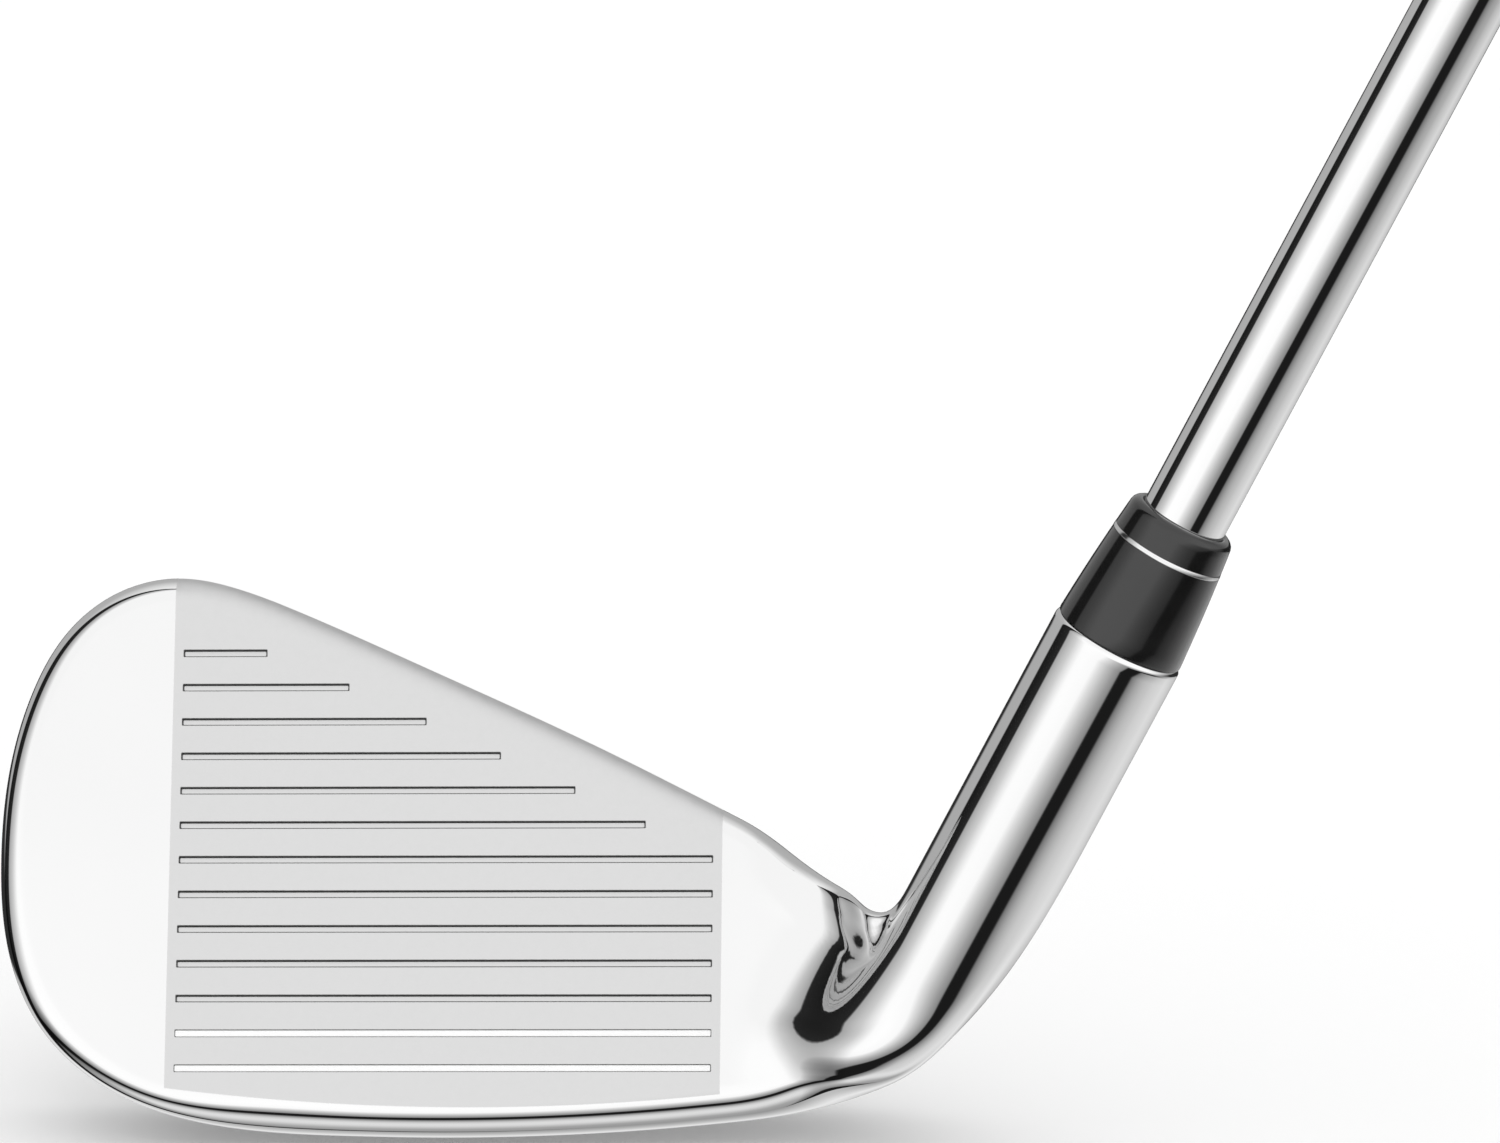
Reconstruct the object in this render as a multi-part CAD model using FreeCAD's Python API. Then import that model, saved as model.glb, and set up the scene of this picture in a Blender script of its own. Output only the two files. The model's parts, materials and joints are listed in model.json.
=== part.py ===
"""A right-handed iron golf club at its address position, one STEP file per separate piece.

Millimetres. +Z is up and the sole rests on z = 0. +X runs from the toe to the shaft, and -Y is the target line.
The origin is where the shaft axis meets the ground.
"""

import FreeCAD, Part
import math
import os

# Driving dimensions of the club
LOFT = 29.0  # degrees between the face and the vertical
LIE = 62.2  # degrees between the shaft and the ground
CLUB_LENGTH = 939.8  # 37 in along the shaft, from the ground to the end of the grip cap
FACE_LEAD = 5.0  # how far ahead of the shaft axis the face plane meets the ground

# Outline of the blade, drawn on the face plane: (x, distance up the face), heel end of the top line to the sole
OUTLINE = [
    (8.0, 26.7), (-8.0, 35.35), (-26.0, 44.95), (-44.0, 53.6), (-58.0, 59.9), (-65.0, 62.7), (-71.0, 64.0),
    (-77.0, 62.75), (-83.0, 58.5), (-87.0, 51.2), (-89.1, 41.2), (-89.5, 31.0), (-88.0, 22.0), (-83.8, 14.1),
    (-78.0, 8.65), (-70.0, 4.3),
]
TOP_EDGE_R = 2.1  # rounding of the face into the top line
TOE_EDGE_R = 4.1  # rounding of the face into the toe
TOE_START = 6  # place in OUTLINE where the rounding starts to grow from the one into the other
TOE_FULL = 9
TOP_LINE = 6.2  # thickness of the top line
LEADING_R = 3.8
SOLE_BREAK_R = 20.0
TRAILING_R = 2.5
SOLE_CAMBER_R = 300.0  # heel-to-toe curve of the sole
SOLE_LOW_X = -42.0
LEADING_Z = 0.75  # the bounce lifts the leading corner this much
SOLE_LOW_Y = 7.0
SOLE_SINK = 0.24  # the sole's corner lies this far below the ground that its rounding touches
TRAILING_Y = 17.0
TRAILING_Z = 2.6
BLADE_END_X = -10.0  # the blade stops here and the heel goes on to the hosel
HEADROOM = 12.0  # the wedge goes on past the top line, and the outline past the sole, before one trims the other
OUTLINE_FOOT = -40.0
OUTLINE_FOOT_INSET = 8.0
SKIN = 0.002  # the wedge stands this far ahead of the face, so that the face is one true plane
JOIN = 0.01  # how closely the blade's end and the heel have to meet to become one solid

HEEL_POINTS = 28
HEEL_STEPS = 6
HEEL_FULLNESS = 0.82  # how close the heel's curves keep to the corner between the blade and the hosel
HEEL_SOLE_SLOPE = 0.1  # how steeply the curves leave the blade at the sole, and how much less so up the blade
HEEL_SLOPE_DROP = 0.55
HEEL_HEIGHT = 30.0

# Hosel, ferrule and shaft, as distances along the shaft axis from the ground and radii
HOSEL_R = 7.12
HOSEL_START = 40.0
HOSEL_TOP = 62.0
HOSEL_CHAMFER = 0.4
BORE_BOTTOM = 32.0
SHAFT_TIP = 33.0
TIP_R = 4.51  # 0.355 in tip
GLUE = 0.15
BUTT_R = 7.62  # 0.600 in butt
FIRST_STEP = 190.0
STEP_PITCH = 44.45
STEPS = 11
STEP_RAMP = 0.8
TIP_BORE_R = 3.66
FIRST_STEP_BORE_R = 3.86
BUTT_BORE_R = 7.22
FERRULE_LENGTH = 14.4
FERRULE_FOOT_R = 6.98
FERRULE_TOP_R = 5.7
FERRULE_CHAMFER = 0.8
RING_FROM_FOOT = 10.45
RING_WIDTH = 0.5
RING_DEPTH = 0.6

# Face plate and its score lines, on the face plane's axes
PLATE_THICKNESS = 2.3
PLATE_MARGIN = 0.5  # from the start of the edge rounding to the seam of the plate
PLATE_LOW = 7.3
PLATE_HEEL_X = -11.5
PLATE_TOE_X = -77.0  # where the seam leaves the toe for the sole
LINE_COUNT = 13
FULL_LINES = 7  # the lines above these follow the top line
LINE_PITCH = 3.729
FIRST_LINE = 9.91
LINE_TOE_X = -70.21
LINE_HEEL_X = -13.95
LINE_TOP_MARGIN = 6.75  # the upper lines stop this far below the top line
LINE_WIDTH = 0.8
LINE_DEPTH = 0.45
PAINTED_LINES = 2
PAINT_RECESS = 0.08

# Cavity behind the face, on the same axes
CAVITY = [
    (-15.0, 22.5), (-15.0, 33.4), (-65.0, 56.4), (-77.0, 54.5), (-83.0, 44.0), (-84.0, 33.0), (-81.0, 22.5),
]
CAVITY_CORNER_R = 4.0
UNDERCUT_X = (-79.0, -17.0)
UNDERCUT_UP = (11.0, 24.0)
UNDERCUT_BACK = 9.6
WEIGHT_X = (-77.0, -40.0)
WEIGHT_UP = (11.05, 16.4)
DAMPER_X = (-62.0, -27.0)
DAMPER_UP = (16.5, 22.4)
GAP = 0.05
BADGE_MARGIN = 1.2
ADHESIVE_THICKNESS = 0.8
BADGE_THICKNESS = 2.2
BADGE_PLATE_THICKNESS = 0.8
BADGE_PLATE_INSET = 3.0

# Grip
GRIP_LENGTH = 267.0
CAP_THICKNESS = 3.2
TAPE = 0.15
VENT_R = 1.6
GRIP_PROFILE = [(0.0, 8.9), (3.0, 9.35), (60.0, 9.75), (150.0, 10.6), (212.0, 11.45), (245.0, 12.4), (259.0, 13.3)]
TAPE_SETBACK = 4.0
TIP_WEIGHT_LENGTH = 18.0
BAND = (596.0, 630.0)
BAND_THICKNESS = 0.1

Vector = FreeCAD.Vector
SIN_LOFT = math.sin(math.radians(LOFT))
COS_LOFT = math.cos(math.radians(LOFT))
AXIS = Vector(math.cos(math.radians(LIE)), 0, math.sin(math.radians(LIE)))
FACE_FRAME = FreeCAD.Placement(Vector(0, -FACE_LEAD, 0), FreeCAD.Rotation(Vector(1, 0, 0), 90 - LOFT))
SHAFT_FRAME = FreeCAD.Placement(Vector(0, 0, 0), FreeCAD.Rotation(Vector(0, 1, 0), 90 - LIE))


def on_face(x, up, out=0.0):
    """The point at x, so far up the face and so far out of it."""
    return FACE_FRAME.multVec(Vector(x, up, out))


def camber(x):
    return (x - SOLE_LOW_X) ** 2 / (2 * SOLE_CAMBER_R)


def spline(points, closed=False):
    curve = Part.BSplineCurve()
    curve.interpolate(Points=points, PeriodicFlag=closed)
    return curve.toShape()


def revolved(profile):
    """The solid that an outline of (distance along the shaft, radius) sweeps round the shaft axis."""
    points = [Vector(radius, 0, along) for along, radius in profile]
    face = Part.Face(Part.makePolygon(points + points[:1]))
    solid = face.revolve(Vector(0, 0, 0), Vector(0, 0, 1), 360)
    solid.Placement = SHAFT_FRAME
    return solid


def tube(start, end, inner, outer):
    return revolved([(start, inner), (end, inner), (end, outer), (start, outer)])


def rod(start, end, radius):
    return revolved([(start, 0), (end, 0), (end, radius), (start, radius)])


def outline_normals():
    """Unit vectors across the outline at its points, out of the blade."""
    normals = []
    for i in range(len(OUTLINE)):
        before, after = OUTLINE[max(i - 1, 0)], OUTLINE[min(i + 1, len(OUTLINE) - 1)]
        run = Vector(after[0] - before[0], after[1] - before[1], 0).normalize()
        normals.append((run.y, -run.x))
    return normals


def edge_radius(place):
    share = min(max((place - TOE_START) / (TOE_FULL - TOE_START), 0), 1)
    return TOP_EDGE_R + share * (TOE_EDGE_R - TOP_EDGE_R)


def inset_outline(amount_at):
    """The outline's points moved into the blade by an amount that depends on the place in the list."""
    moved = []
    for i, ((x, up), (nx, nup)) in enumerate(zip(OUTLINE, outline_normals())):
        amount = amount_at(i)
        moved.append((x - nx * amount, up - nup * amount))
    return moved


def outline_wire(depth):
    """The blade's outline at a depth behind the face, closed far below the sole."""

    def rounding(place):
        radius = edge_radius(place)
        rise = max(radius - depth, 0)
        return radius - math.sqrt(radius * radius - rise * rise)

    points = [Vector(x, up, -depth) for x, up in inset_outline(rounding)]
    foot = Vector(points[-1].x + OUTLINE_FOOT_INSET, OUTLINE_FOOT, -depth)
    corners = [points[-1], foot, Vector(points[0].x, OUTLINE_FOOT, -depth), points[0]]
    lines = [Part.makeLine(a, b) for a, b in zip(corners, corners[1:])]
    return Part.Wire([spline(points)] + lines)


def front_shape():
    """Everything inside the outline, with the face rounded into the top line and the toe."""
    depths = [0.0, 0.15, 0.5, 1.0, 1.6, TOP_EDGE_R, 3.0, TOE_EDGE_R]
    rounding = Part.makeLoft([outline_wire(d) for d in depths], True)
    back = outline_wire(TOE_EDGE_R)
    behind = Part.Face(back).extrude(Vector(0, 0, -40))
    solid = rounding.fuse(behind)
    solid.Placement = FACE_FRAME
    return solid


def top_line(x):
    """How far up the face the straight extension of the top line lies."""
    (x0, up0), (x1, up1) = OUTLINE[1], OUTLINE[4]
    return up0 + (x - x0) * (up1 - up0) / (x1 - x0)


def side_profile(x):
    """The corners of the blade's wedge across x: face, leading edge, sole and back."""
    lift = camber(x)
    high = top_line(x) + HEADROOM
    lean = SIN_LOFT / COS_LOFT
    leading = Vector(x, -FACE_LEAD + (LEADING_Z + lift) * lean - SKIN / COS_LOFT, LEADING_Z + lift)
    low = Vector(x, SOLE_LOW_Y + lift * lean, lift - SOLE_SINK)
    trailing = Vector(x, TRAILING_Y, TRAILING_Z + lift)
    rim = on_face(x, top_line(x), -TOP_LINE)
    back = trailing + (rim - trailing) * (high / top_line(x))
    front = on_face(x, high, SKIN)
    return [front, leading, low, trailing, back]


def rounded_corner(before, corner, after, radius):
    """The start, middle and end of the arc that rounds a corner between two straight lines."""
    back = (before - corner).normalize()
    on = (after - corner).normalize()
    half = back.getAngle(on) / 2
    middle = (back + on).normalize()
    tangent = radius / math.tan(half)
    bulge = radius / math.sin(half) - radius
    return corner + back * tangent, corner + middle * bulge, corner + on * tangent


def rounded_wire(corners, radii):
    """A closed wire through the corners, with those that have a radius rounded."""
    edges = []
    place = None
    for i, radius in enumerate(radii):
        if radius:
            start, middle, end = rounded_corner(corners[i - 1], corners[i], corners[(i + 1) % len(corners)], radius)
            edges.append(Part.makeLine(place, start))
            edges.append(Part.Arc(start, middle, end).toShape())
            place = end
        else:
            if place:
                edges.append(Part.makeLine(place, corners[i]))
            place = corners[i]
    edges.append(Part.makeLine(place, corners[0]))
    return Part.Wire(edges)


def wedge():
    """The blade's wedge from beyond the toe to the heel, with a cambered, rounded sole."""
    stations = [-96.0, -78.0, -60.0, SOLE_LOW_X, -24.0, 0.0]
    radii = [0, LEADING_R, SOLE_BREAK_R, TRAILING_R, 0]
    return Part.makeLoft([rounded_wire(side_profile(x), radii) for x in stations], True)


def blade():
    whole = front_shape().common(wedge())
    beyond = Part.makeBox(60, 120, 160, Vector(BLADE_END_X, -50, -20))
    return whole.cut(beyond)


def heel_section(solid):
    """Points round the blade's end, evenly spaced from the lowest one, seen from the heel."""
    wire = solid.slice(Vector(1, 0, 0), BLADE_END_X - 0.01)[0]
    points = wire.discretize(Number=HEEL_POINTS + 1)[:-1]
    centre = sum(points, Vector()) * (1 / len(points))
    angles = [math.atan2(p.z - centre.z, p.y - centre.y) for p in points]
    turning = sum(math.sin(b - a) for a, b in zip(angles, angles[1:]))
    if turning < 0:
        points.reverse()
    first = min(range(len(points)), key=lambda i: points[i].z)
    points = points[first:] + points[:first]
    return [Vector(BLADE_END_X, p.y, p.z) for p in points]


def hosel_point(angle, along):
    """A point on the hosel: angle 0 is its heel side, and 90 degrees is its back."""
    heel_side = Vector(math.sin(math.radians(LIE)), 0, -math.cos(math.radians(LIE)))
    back = Vector(0, 1, 0)
    return AXIS * along + (heel_side * math.cos(angle) + back * math.sin(angle)) * HOSEL_R


def heel_curve(start, angle):
    """The curve from a point on the blade's end, along the blade, round to the hosel's axis."""
    end = hosel_point(angle, HOSEL_START)
    height = max(start.z - camber(BLADE_END_X), 0) / HEEL_HEIGHT
    slope = Vector(1, 0, HEEL_SOLE_SLOPE - HEEL_SLOPE_DROP * height).normalize()
    # where the line along the blade and the line along the hosel cross in the front view
    across = slope.x * AXIS.z - slope.z * AXIS.x
    reach = ((end.x - start.x) * AXIS.z - (end.z - start.z) * AXIS.x) / across
    drop = ((end.x - start.x) * slope.z - (end.z - start.z) * slope.x) / -across
    first = start + slope * (reach * HEEL_FULLNESS)
    second = end - AXIS * (drop * HEEL_FULLNESS)
    curve = Part.BezierCurve()
    curve.setPoles([start, first, second, end])
    return curve


def heel(blade_solid):
    """The heel from the blade's end to the straight part of the hosel."""
    ring = heel_section(blade_solid)
    curves = []
    for i, start in enumerate(ring):
        curves.append(heel_curve(start, 2 * math.pi * i / HEEL_POINTS))
    wires = []
    for k in range(HEEL_STEPS + 1):
        wires.append(Part.Wire(spline([c.value(k / HEEL_STEPS) for c in curves], closed=True)))
    return Part.makeLoft(wires, True)


def hosel():
    """The straight part of the hosel, with its top edge broken."""
    rim = HOSEL_R - HOSEL_CHAMFER
    shoulder = HOSEL_TOP - HOSEL_CHAMFER
    start = (HOSEL_START, 0)
    return revolved([start, (HOSEL_TOP, 0), (HOSEL_TOP, rim), (shoulder, HOSEL_R), (HOSEL_START, HOSEL_R)])


def slab(wire, front, back):
    """The solid that a closed wire on the face's axes makes between two depths behind the face."""
    face = Part.Face(wire)
    face.translate(Vector(0, 0, -front))
    solid = face.extrude(Vector(0, 0, front - back))
    solid.Placement = FACE_FRAME.multiply(solid.Placement)
    return solid


def block(x_range, up_range, front, back):
    (x0, x1), (up0, up1) = x_range, up_range
    corners = [Vector(x0, up0, 0), Vector(x1, up0, 0), Vector(x1, up1, 0), Vector(x0, up1, 0)]
    return slab(Part.makePolygon(corners + corners[:1]), front, back)


def plate_wire():
    """The seam of the face plate, just inside the flat of the face."""
    inset = inset_outline(lambda place: edge_radius(place) + PLATE_MARGIN)
    (x0, up0), (x1, up1) = inset[1], inset[2]
    heel_top = Vector(PLATE_HEEL_X, up0 + (PLATE_HEEL_X - x0) * (up1 - up0) / (x1 - x0), 0)
    around = [Vector(x, up, 0) for x, up in inset[2:-2]]
    low_xs = (PLATE_TOE_X, -60.0, SOLE_LOW_X, -26.0, PLATE_HEEL_X)
    low = [Vector(x, PLATE_LOW + camber(x) / COS_LOFT, 0) for x in low_xs]
    edge = spline([heel_top] + around + low)
    return Part.Wire([edge, Part.makeLine(low[-1], heel_top)])


def top_line_x(up):
    """Where along the blade the top line is so far up the face."""
    for (x0, up0), (x1, up1) in zip(OUTLINE, OUTLINE[1:]):
        if up0 <= up <= up1:
            return x0 + (up - up0) * (x1 - x0) / (up1 - up0)


def line_end(up, number):
    """Where a score line ends on the heel side: level with the rest, or short of the top line."""
    return LINE_HEEL_X if number < FULL_LINES else top_line_x(up + LINE_TOP_MARGIN)


def score_line(number, front, back, trim=0.0):
    """A bar in a score line's place, counted from the lowest."""
    up = FIRST_LINE + number * LINE_PITCH
    half = LINE_WIDTH / 2 - trim
    return block((LINE_TOE_X + trim, line_end(up, number) - trim), (up - half, up + half), front, back)


def cavity_wire(inset):
    """The outline of the cavity, moved in by an inset."""
    corners = [Vector(x, up, 0) for x, up in CAVITY]
    wire = closed_rounded(corners, CAVITY_CORNER_R)
    return wire.makeOffset2D(-inset) if inset else wire


def closed_rounded(corners, radius):
    """A closed outline with every corner rounded to one radius."""
    edges = []
    arcs = []
    for i, corner in enumerate(corners):
        arcs.append(rounded_corner(corners[i - 1], corner, corners[(i + 1) % len(corners)], radius))
    for i, (start, middle, end) in enumerate(arcs):
        edges.append(Part.Arc(start, middle, end).toShape())
        edges.append(Part.makeLine(end, arcs[(i + 1) % len(arcs)][0]))
    return Part.Wire(edges)


def head_body():
    """The casting: blade, heel and hosel, opened for the plate, the cavity, the weight and the shaft."""
    blade_solid = blade()
    body = blade_solid.fuse([heel(blade_solid), hosel()], JOIN)
    bore = rod(BORE_BOTTOM, HOSEL_TOP + 1, TIP_R + GLUE)
    pocket = slab(plate_wire(), -5, PLATE_THICKNESS)
    opening = slab(cavity_wire(0), 1, 40)
    undercut = block(UNDERCUT_X, UNDERCUT_UP, 1, UNDERCUT_BACK)
    return body.cut([bore, pocket, opening, undercut])


def face_plate():
    plate = slab(plate_wire(), 0, PLATE_THICKNESS)
    return plate.cut([score_line(i, -1, LINE_DEPTH) for i in range(LINE_COUNT)])


def score_line_paint():
    bars = [score_line(i, PAINT_RECESS, LINE_DEPTH, GAP / 2) for i in range(PAINTED_LINES)]
    return Part.makeCompound(bars)


def tungsten_weight():
    return block(WEIGHT_X, WEIGHT_UP, PLATE_THICKNESS + GAP, UNDERCUT_BACK - GAP)


def urethane_damper():
    return block(DAMPER_X, DAMPER_UP, PLATE_THICKNESS + GAP, UNDERCUT_BACK - GAP)


def badge_layer(inset, front, thickness):
    return slab(cavity_wire(inset), front, front + thickness)


def badge_adhesive():
    return badge_layer(BADGE_MARGIN + 1.0, PLATE_THICKNESS, ADHESIVE_THICKNESS)


def badge_base():
    """The badge's moulded base, with a shallow seat for its metal plate."""
    front = PLATE_THICKNESS + ADHESIVE_THICKNESS
    base = badge_layer(BADGE_MARGIN, front, BADGE_THICKNESS)
    seat_depth = BADGE_PLATE_THICKNESS / 2
    seat = badge_layer(BADGE_PLATE_INSET, front + BADGE_THICKNESS - seat_depth, seat_depth + 1)
    return base.cut(seat)


def badge_plate():
    front = PLATE_THICKNESS + ADHESIVE_THICKNESS + BADGE_THICKNESS - BADGE_PLATE_THICKNESS / 2
    return badge_layer(BADGE_PLATE_INSET + GAP, front, BADGE_PLATE_THICKNESS)


def hosel_epoxy():
    """The glue round the shaft tip and under it."""
    cup = rod(BORE_BOTTOM, HOSEL_TOP, TIP_R + GLUE)
    return cup.cut(rod(SHAFT_TIP, HOSEL_TOP + 1, TIP_R))


def ferrule():
    """The tapered collar, with the groove that its ring sits in."""
    top = HOSEL_TOP + FERRULE_LENGTH
    shoulder = top - FERRULE_CHAMFER
    rim = FERRULE_TOP_R - FERRULE_CHAMFER
    collar = revolved([
        (HOSEL_TOP, TIP_R), (top, TIP_R), (top, rim), (shoulder, FERRULE_TOP_R), (HOSEL_TOP, FERRULE_FOOT_R),
    ])
    return collar.cut(ring_band(FERRULE_FOOT_R + 1))


def ferrule_radius(along):
    share = (along - HOSEL_TOP) / (FERRULE_LENGTH - FERRULE_CHAMFER)
    return FERRULE_FOOT_R + share * (FERRULE_TOP_R - FERRULE_FOOT_R)


def ring_band(outer):
    start = HOSEL_TOP + RING_FROM_FOOT
    return tube(start, start + RING_WIDTH, ferrule_radius(start) - RING_DEPTH, outer)


def ferrule_ring():
    """The ring in the collar, flush with its taper."""
    start = HOSEL_TOP + RING_FROM_FOOT
    end = start + RING_WIDTH
    inner = ferrule_radius(start) - RING_DEPTH
    return revolved([(start, inner), (end, inner), (end, ferrule_radius(end)), (start, ferrule_radius(start))])


def section_radius(steps_below):
    return TIP_R + (BUTT_R - TIP_R) * steps_below / STEPS


def shaft():
    """The stepped tube, from the tip in the hosel to the butt under the grip cap."""
    butt = CLUB_LENGTH - CAP_THICKNESS
    last_step = FIRST_STEP + (STEPS - 1) * STEP_PITCH
    outside = [(SHAFT_TIP, TIP_R)]
    for i in range(STEPS):
        step = FIRST_STEP + i * STEP_PITCH
        outside.append((step - STEP_RAMP, section_radius(i)))
        outside.append((step, section_radius(i + 1)))
    outside.append((grip_mouth(), BUTT_R))
    outside.append((butt, BUTT_R))
    inside = [(butt, BUTT_BORE_R), (last_step, BUTT_BORE_R), (FIRST_STEP, FIRST_STEP_BORE_R), (SHAFT_TIP, TIP_BORE_R)]
    return revolved(outside + inside)


def tip_weight():
    """The pin glued in the tip of the tube to set the club's balance."""
    start = SHAFT_TIP + 0.5
    end = start + TIP_WEIGHT_LENGTH
    radius = TIP_BORE_R - GAP
    break_edge = 0.8
    return revolved([
        (start, 0), (end, 0), (end, radius - break_edge), (end - break_edge, radius), (start, radius),
    ])


def shaft_band():
    radius = section_radius(STEPS - 1)
    return tube(BAND[0], BAND[1], radius, radius + BAND_THICKNESS)


def grip_mouth():
    return CLUB_LENGTH - GRIP_LENGTH


def grip_tape():
    return tube(grip_mouth() + TAPE_SETBACK, CLUB_LENGTH - CAP_THICKNESS, BUTT_R, BUTT_R + TAPE)


def grip():
    """The rubber sleeve, opened for the taped shaft."""
    mouth = grip_mouth()
    end = CLUB_LENGTH - CAP_THICKNESS
    inner = BUTT_R + TAPE
    outside = [(mouth + along, radius) for along, radius in GRIP_PROFILE]
    return revolved([(mouth, inner)] + outside + [(end, GRIP_PROFILE[-1][1]), (end, inner)])


def grip_cap():
    """The end cap, with a rounded rim and a vent hole."""
    start = CLUB_LENGTH - CAP_THICKNESS
    radius = GRIP_PROFILE[-1][1]
    rim = [(start, radius), (CLUB_LENGTH - 1.8, radius - 0.3), (CLUB_LENGTH - 0.6, radius - 1.3)]
    return revolved([(start, VENT_R)] + rim + [(CLUB_LENGTH, radius - 3.2), (CLUB_LENGTH, VENT_R)])


PARTS = [
    head_body, face_plate, score_line_paint, tungsten_weight, urethane_damper, badge_adhesive, badge_base,
    badge_plate, hosel_epoxy, ferrule, ferrule_ring, shaft, tip_weight, shaft_band, grip_tape, grip, grip_cap,
]

os.makedirs("parts", exist_ok=True)
for make in PARTS:
    shape = make()
    shape.exportStep("parts/" + make.__name__ + ".step")
    print(make.__name__, shape.isValid(), len(shape.Solids), round(shape.Volume, 1))
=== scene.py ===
import bmesh
import bpy
import json
import math
import numpy as np
from mathutils import Matrix, Vector, geometry


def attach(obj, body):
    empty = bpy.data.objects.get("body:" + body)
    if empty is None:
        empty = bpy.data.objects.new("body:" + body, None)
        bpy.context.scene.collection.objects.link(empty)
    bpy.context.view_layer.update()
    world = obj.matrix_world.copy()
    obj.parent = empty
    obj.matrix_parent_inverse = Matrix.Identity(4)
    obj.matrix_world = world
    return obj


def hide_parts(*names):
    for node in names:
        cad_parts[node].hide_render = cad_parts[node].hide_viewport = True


# Looks of a right-handed iron golf club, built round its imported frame. Lengths here are millimetres.
# Face coordinates are (x, distance up the face, distance out of the face).

LOFT = math.radians(29.0)
LIE = math.radians(62.2)
SIN, COS = math.sin(LOFT), math.cos(LOFT)
FACE_LEAD = 5.0
AXIS = np.array([math.cos(LIE), 0.0, math.sin(LIE)])
HEEL_SIDE = np.array([math.sin(LIE), 0.0, -math.cos(LIE)])
BACK_SIDE = np.array([0.0, 1.0, 0.0])

# Blade: the corner between the face and the edge all round, from the heel over the toe
HEEL_X = -13.1
TOP_LINE_PATH = [(HEEL_X, 38.1), (-26.0, 44.75), (-44.0, 53.25), (-58.0, 59.6), (-65.5, 62.45), (-71.5, 63.4)]
TOE_PATH = [(-77.4, 62.0), (-82.6, 57.9), (-86.5, 50.8), (-88.7, 42.0), (-89.25, 33.0)]
# Toe's lower corner: front point, then the middle and the back of the edge
TOE_LOW_PATH = [
    ((-88.3, 23.3), (-88.3, 23.4), (-87.8, 24.5)),
    ((-85.2, 15.1), (-84.7, 16.0), (-83.8, 18.1)),
    ((-79.4, 8.8), (-79.0, 11.0), (-78.1, 14.9)),
    ((-71.3, 4.5), (-71.0, 7.9), (-70.0, 13.9)),
]
# Places along the leading edge, from the toe to the heel
SOLE_XS = (-61.0, -51.0, -42.0, -33.0, -24.0, -18.0, HEEL_X)
TOP_THICKNESS = 6.2
LEADING_Z = 2.19
SOLE_LOW_Y, SOLE_SINK = 7.0, 1.2
TRAILING_Y, TRAILING_Z = 17.0, 2.6
SOLE_LOW_X, SOLE_CAMBER_R = -42.0, 300.0

HOSEL_R, HOSEL_START, HOSEL_TOP = 7.12, 40.0, 62.0
BORE_R, BORE_BOTTOM = 4.66, 32.0
PLATE_BACK, PLATE_HEEL_X = -2.3, -13.5
CAVITY = [
    (-15.0, 22.5), (-15.0, 33.2), (-65.0, 56.0), (-77.0, 54.2), (-83.0, 44.0), (-83.5, 33.0), (-79.5, 22.5),
]
CAVITY_CORNER_R, CAVITY_RIM = 4.0, 1.2

# Rounding of the edges: from the corner to where the rounding starts, on the face, the edge and the back
TOP_ROUNDING, LOW_TOE_ROUNDING, SOLE_ROUNDING = 2.85, [2.85, 3.0, 3.4], 3.8
BACK_TOP_ROUNDING, BACK_TOE_ROUNDING, BACK_LOW_ROUNDING, BACK_SOLE_ROUNDING = 1.7, 2.0, 2.4, 2.6
STATIONS = 330  # places round the blade's edge
FACE_ROW_IN, BACK_ROW_IN, SEAM_IN = 0.35, 0.5, 0.6  # the end rows and the plate's seam, past the rounding


def on_face(p):
    """World points, in millimetres, of (x, up the face, out of the face)."""
    p = np.asarray(p, float)
    x, v, w = p[..., 0], p[..., 1], p[..., 2]
    return np.stack([x, -FACE_LEAD + v * SIN - w * COS, v * COS + w * SIN], axis=-1)


def to_face(p):
    p = np.asarray(p, float)
    x, y, z = p[..., 0], p[..., 1] + FACE_LEAD, p[..., 2]
    return np.stack([x, y * SIN + z * COS, -y * COS + z * SIN], axis=-1)


def camber(x):
    return (x - SOLE_LOW_X) ** 2 / (2 * SOLE_CAMBER_R)


TOP_LINE_X, TOP_LINE_UP, TOP_LINE_FALL = -8.0, 35.35, 0.491


def top_line(x):
    """How far up the face the straight extension of the top line lies."""
    return TOP_LINE_UP - (x - TOP_LINE_X) * TOP_LINE_FALL


def trailing(x):
    """(up, out) of the sole's back edge at x."""
    p = to_face(np.stack([x, 0 * x + TRAILING_Y, TRAILING_Z + camber(x)], axis=-1))
    return p[..., 1], p[..., 2]


def back_w(x, v):
    """How far out of the face the blade's back surface lies, below zero."""
    x, v = np.asarray(x, float), np.asarray(v, float)
    v0, w0 = trailing(x)
    return w0 + (v - v0) * (-TOP_THICKNESS - w0) / (top_line(x) - v0)


def on_back(p):
    p = np.asarray(p, float)
    return np.concatenate([p, back_w(p[..., 0], p[..., 1])[..., None]], axis=-1)


def lift(p, w=0.0):
    p = np.asarray(p, float)
    return np.concatenate([p, np.full(p.shape[:-1] + (1,), w)], axis=-1)


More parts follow.
